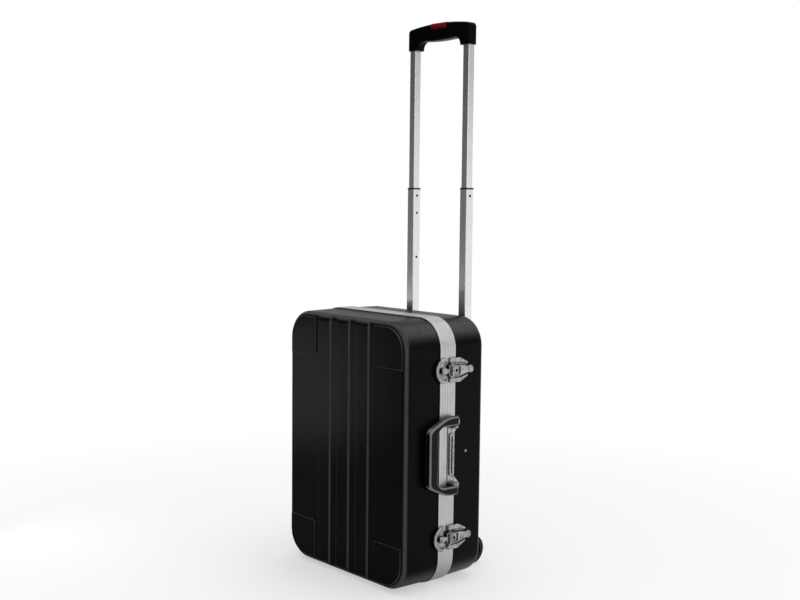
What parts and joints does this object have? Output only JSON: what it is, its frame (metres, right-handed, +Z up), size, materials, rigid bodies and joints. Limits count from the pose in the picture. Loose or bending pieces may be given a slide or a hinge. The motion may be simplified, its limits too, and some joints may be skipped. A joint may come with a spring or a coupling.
{
  "type": "rolling laptop case",
  "caption": "Hard rolling laptop case with ribbed shells in an aluminium frame, key latches, side carry handle and telescopic trolley.",
  "frame": {"origin": "on the floor under the middle of the whole object's box", "axes": "+Z up along the trolley, -Y out of the ribbed front, +X towards the latches and carry handle"},
  "size_m": [0.3672, 0.263, 1.03],
  "materials": {
    "shell_abs": "moulded ABS, satin",
    "frame_aluminium": "satin anodised, drawn lengthwise",
    "tube_aluminium": "bright anodised",
    "nickel_plate": "nickel plated pressing",
    "grip_plastic": "semi-gloss moulded",
    "moulded_nylon": "fine texture",
    "button_plastic": "dark red, glossy",
    "rubber": "matt",
    "zinc_steel": "zinc plated",
    "foam": "dark grey cellular foam",
    "lining_fabric": "charcoal nylon",
    "webbing": "woven black webbing"
  },
  "bodies": {
    "case": {"axle": "zinc_steel", "base_frame": "frame_aluminium", "base_shell": "shell_abs", "bracket_screw_lower_left": "zinc_steel", "bracket_screw_lower_right": "zinc_steel", "bracket_screw_upper_left": "zinc_steel", "bracket_screw_upper_right": "zinc_steel", "foam_tray": "foam", "foot_base_hinge_side": "moulded_nylon", "foot_base_latch_side": "moulded_nylon", "gasket": "rubber", "handle_plate": "nickel_plate", "hinge_lower_base_leaf": "nickel_plate", "hinge_lower_pin": "nickel_plate", "hinge_upper_base_leaf": "nickel_plate", "hinge_upper_pin": "nickel_plate", "laptop_cushion": "lining_fabric", "laptop_strap": "webbing", "latch_lower_plate": "nickel_plate", "latch_upper_plate": "nickel_plate", "strap_rivet": "nickel_plate", "top_bracket": "moulded_nylon", "trolley_outer_left": "tube_aluminium", "trolley_outer_right": "tube_aluminium", "wheel_housing": "moulded_nylon"},
    "lid": {"foot_lid_hinge_side": "moulded_nylon", "foot_lid_latch_side": "moulded_nylon", "hinge_lower_lid_leaf": "nickel_plate", "hinge_upper_lid_leaf": "nickel_plate", "latch_lower_strike": "nickel_plate", "latch_upper_strike": "nickel_plate", "lid_frame": "frame_aluminium", "lid_pad": "lining_fabric", "lid_pocket": "lining_fabric", "lid_shell": "shell_abs"},
    "trolley_middle": {"trolley_collar_left": "moulded_nylon", "trolley_collar_right": "moulded_nylon", "trolley_middle_left": "tube_aluminium", "trolley_middle_right": "tube_aluminium", "trolley_stud_left": "moulded_nylon", "trolley_stud_right": "moulded_nylon"},
    "trolley_inner": {"trolley_grip": "grip_plastic", "trolley_inner_left": "tube_aluminium", "trolley_inner_right": "tube_aluminium"},
    "release_button": {"release_button": "button_plastic", "release_yoke": "zinc_steel"},
    "wheel_left": {"wheel_left_tyre": "rubber", "wheel_left_hub": "moulded_nylon"},
    "wheel_right": {"wheel_right_tyre": "rubber", "wheel_right_hub": "moulded_nylon"},
    "carry_handle": {"carry_handle": "grip_plastic"},
    "lower_lever": {"latch_lower_lever": "nickel_plate"},
    "lower_claw": {"latch_lower_claw": "nickel_plate"},
    "lower_lock": {"latch_lower_lock": "nickel_plate"},
    "upper_lever": {"latch_upper_lever": "nickel_plate"},
    "upper_claw": {"latch_upper_claw": "nickel_plate"},
    "upper_lock": {"latch_upper_lock": "nickel_plate"}
  },
  "joints": [
    {"name": "lid_hinge", "type": "hinge", "parent": "case", "child": "lid", "pos_m": [-0.1804, -0.0335, 0.243], "axis": [0, 0, -1], "range_deg": [0, 100]},
    {"name": "middle_slide", "type": "slide", "parent": "case", "child": "trolley_middle", "axis": [0, 0, 1], "range_m": [-0.278, 0]},
    {"name": "inner_slide", "type": "slide", "parent": "trolley_middle", "child": "trolley_inner", "axis": [0, 0, 1], "range_m": [-0.264, 0]},
    {"name": "button_press", "type": "slide", "parent": "trolley_inner", "child": "release_button", "axis": [0, 0, -1], "range_m": [0, 0.004], "stiffness_N_per_m": 500, "springref_m": -0.002},
    {"name": "wheel_left_spin", "type": "hinge", "parent": "case", "child": "wheel_left", "pos_m": [-0.1007, 0.1045, 0.027], "axis": [1, 0, 0], "continuous": true},
    {"name": "wheel_right_spin", "type": "hinge", "parent": "case", "child": "wheel_right", "pos_m": [0.0909, 0.1045, 0.027], "axis": [1, 0, 0], "continuous": true},
    {"name": "handle_swing", "type": "hinge", "parent": "case", "child": "carry_handle", "pos_m": [0.1761, -0.0235, 0.242], "axis": [0, 0, 1], "range_deg": [0, 95]},
    {"name": "lower_lever_lift", "type": "hinge", "parent": "case", "child": "lower_lever", "pos_m": [0.1726, -0.0295, 0.092], "axis": [0, 0, -1], "range_deg": [0, 105]},
    {"name": "lower_claw_level", "type": "hinge", "parent": "lower_lever", "child": "lower_claw", "pos_m": [0.1751, -0.024, 0.092], "axis": [0, 0, 1], "range_deg": [0, 105]},
    {"name": "lower_key_turn", "type": "hinge", "parent": "lower_lever", "child": "lower_lock", "pos_m": [0.1751, -0.0209, 0.092], "axis": [1, 0, 0], "range_deg": [0, 90]},
    {"name": "upper_lever_lift", "type": "hinge", "parent": "case", "child": "upper_lever", "pos_m": [0.1726, -0.0295, 0.394], "axis": [0, 0, -1], "range_deg": [0, 105]},
    {"name": "upper_claw_level", "type": "hinge", "parent": "upper_lever", "child": "upper_claw", "pos_m": [0.1751, -0.024, 0.394], "axis": [0, 0, 1], "range_deg": [0, 105]},
    {"name": "upper_key_turn", "type": "hinge", "parent": "upper_lever", "child": "upper_lock", "pos_m": [0.1751, -0.0209, 0.394], "axis": [1, 0, 0], "range_deg": [0, 90]}
  ],
  "couplings": [
    {"joint": "lower_claw_level", "follows": "lower_lever_lift", "ratio": 1},
    {"joint": "upper_claw_level", "follows": "upper_lever_lift", "ratio": 1}
  ]
}
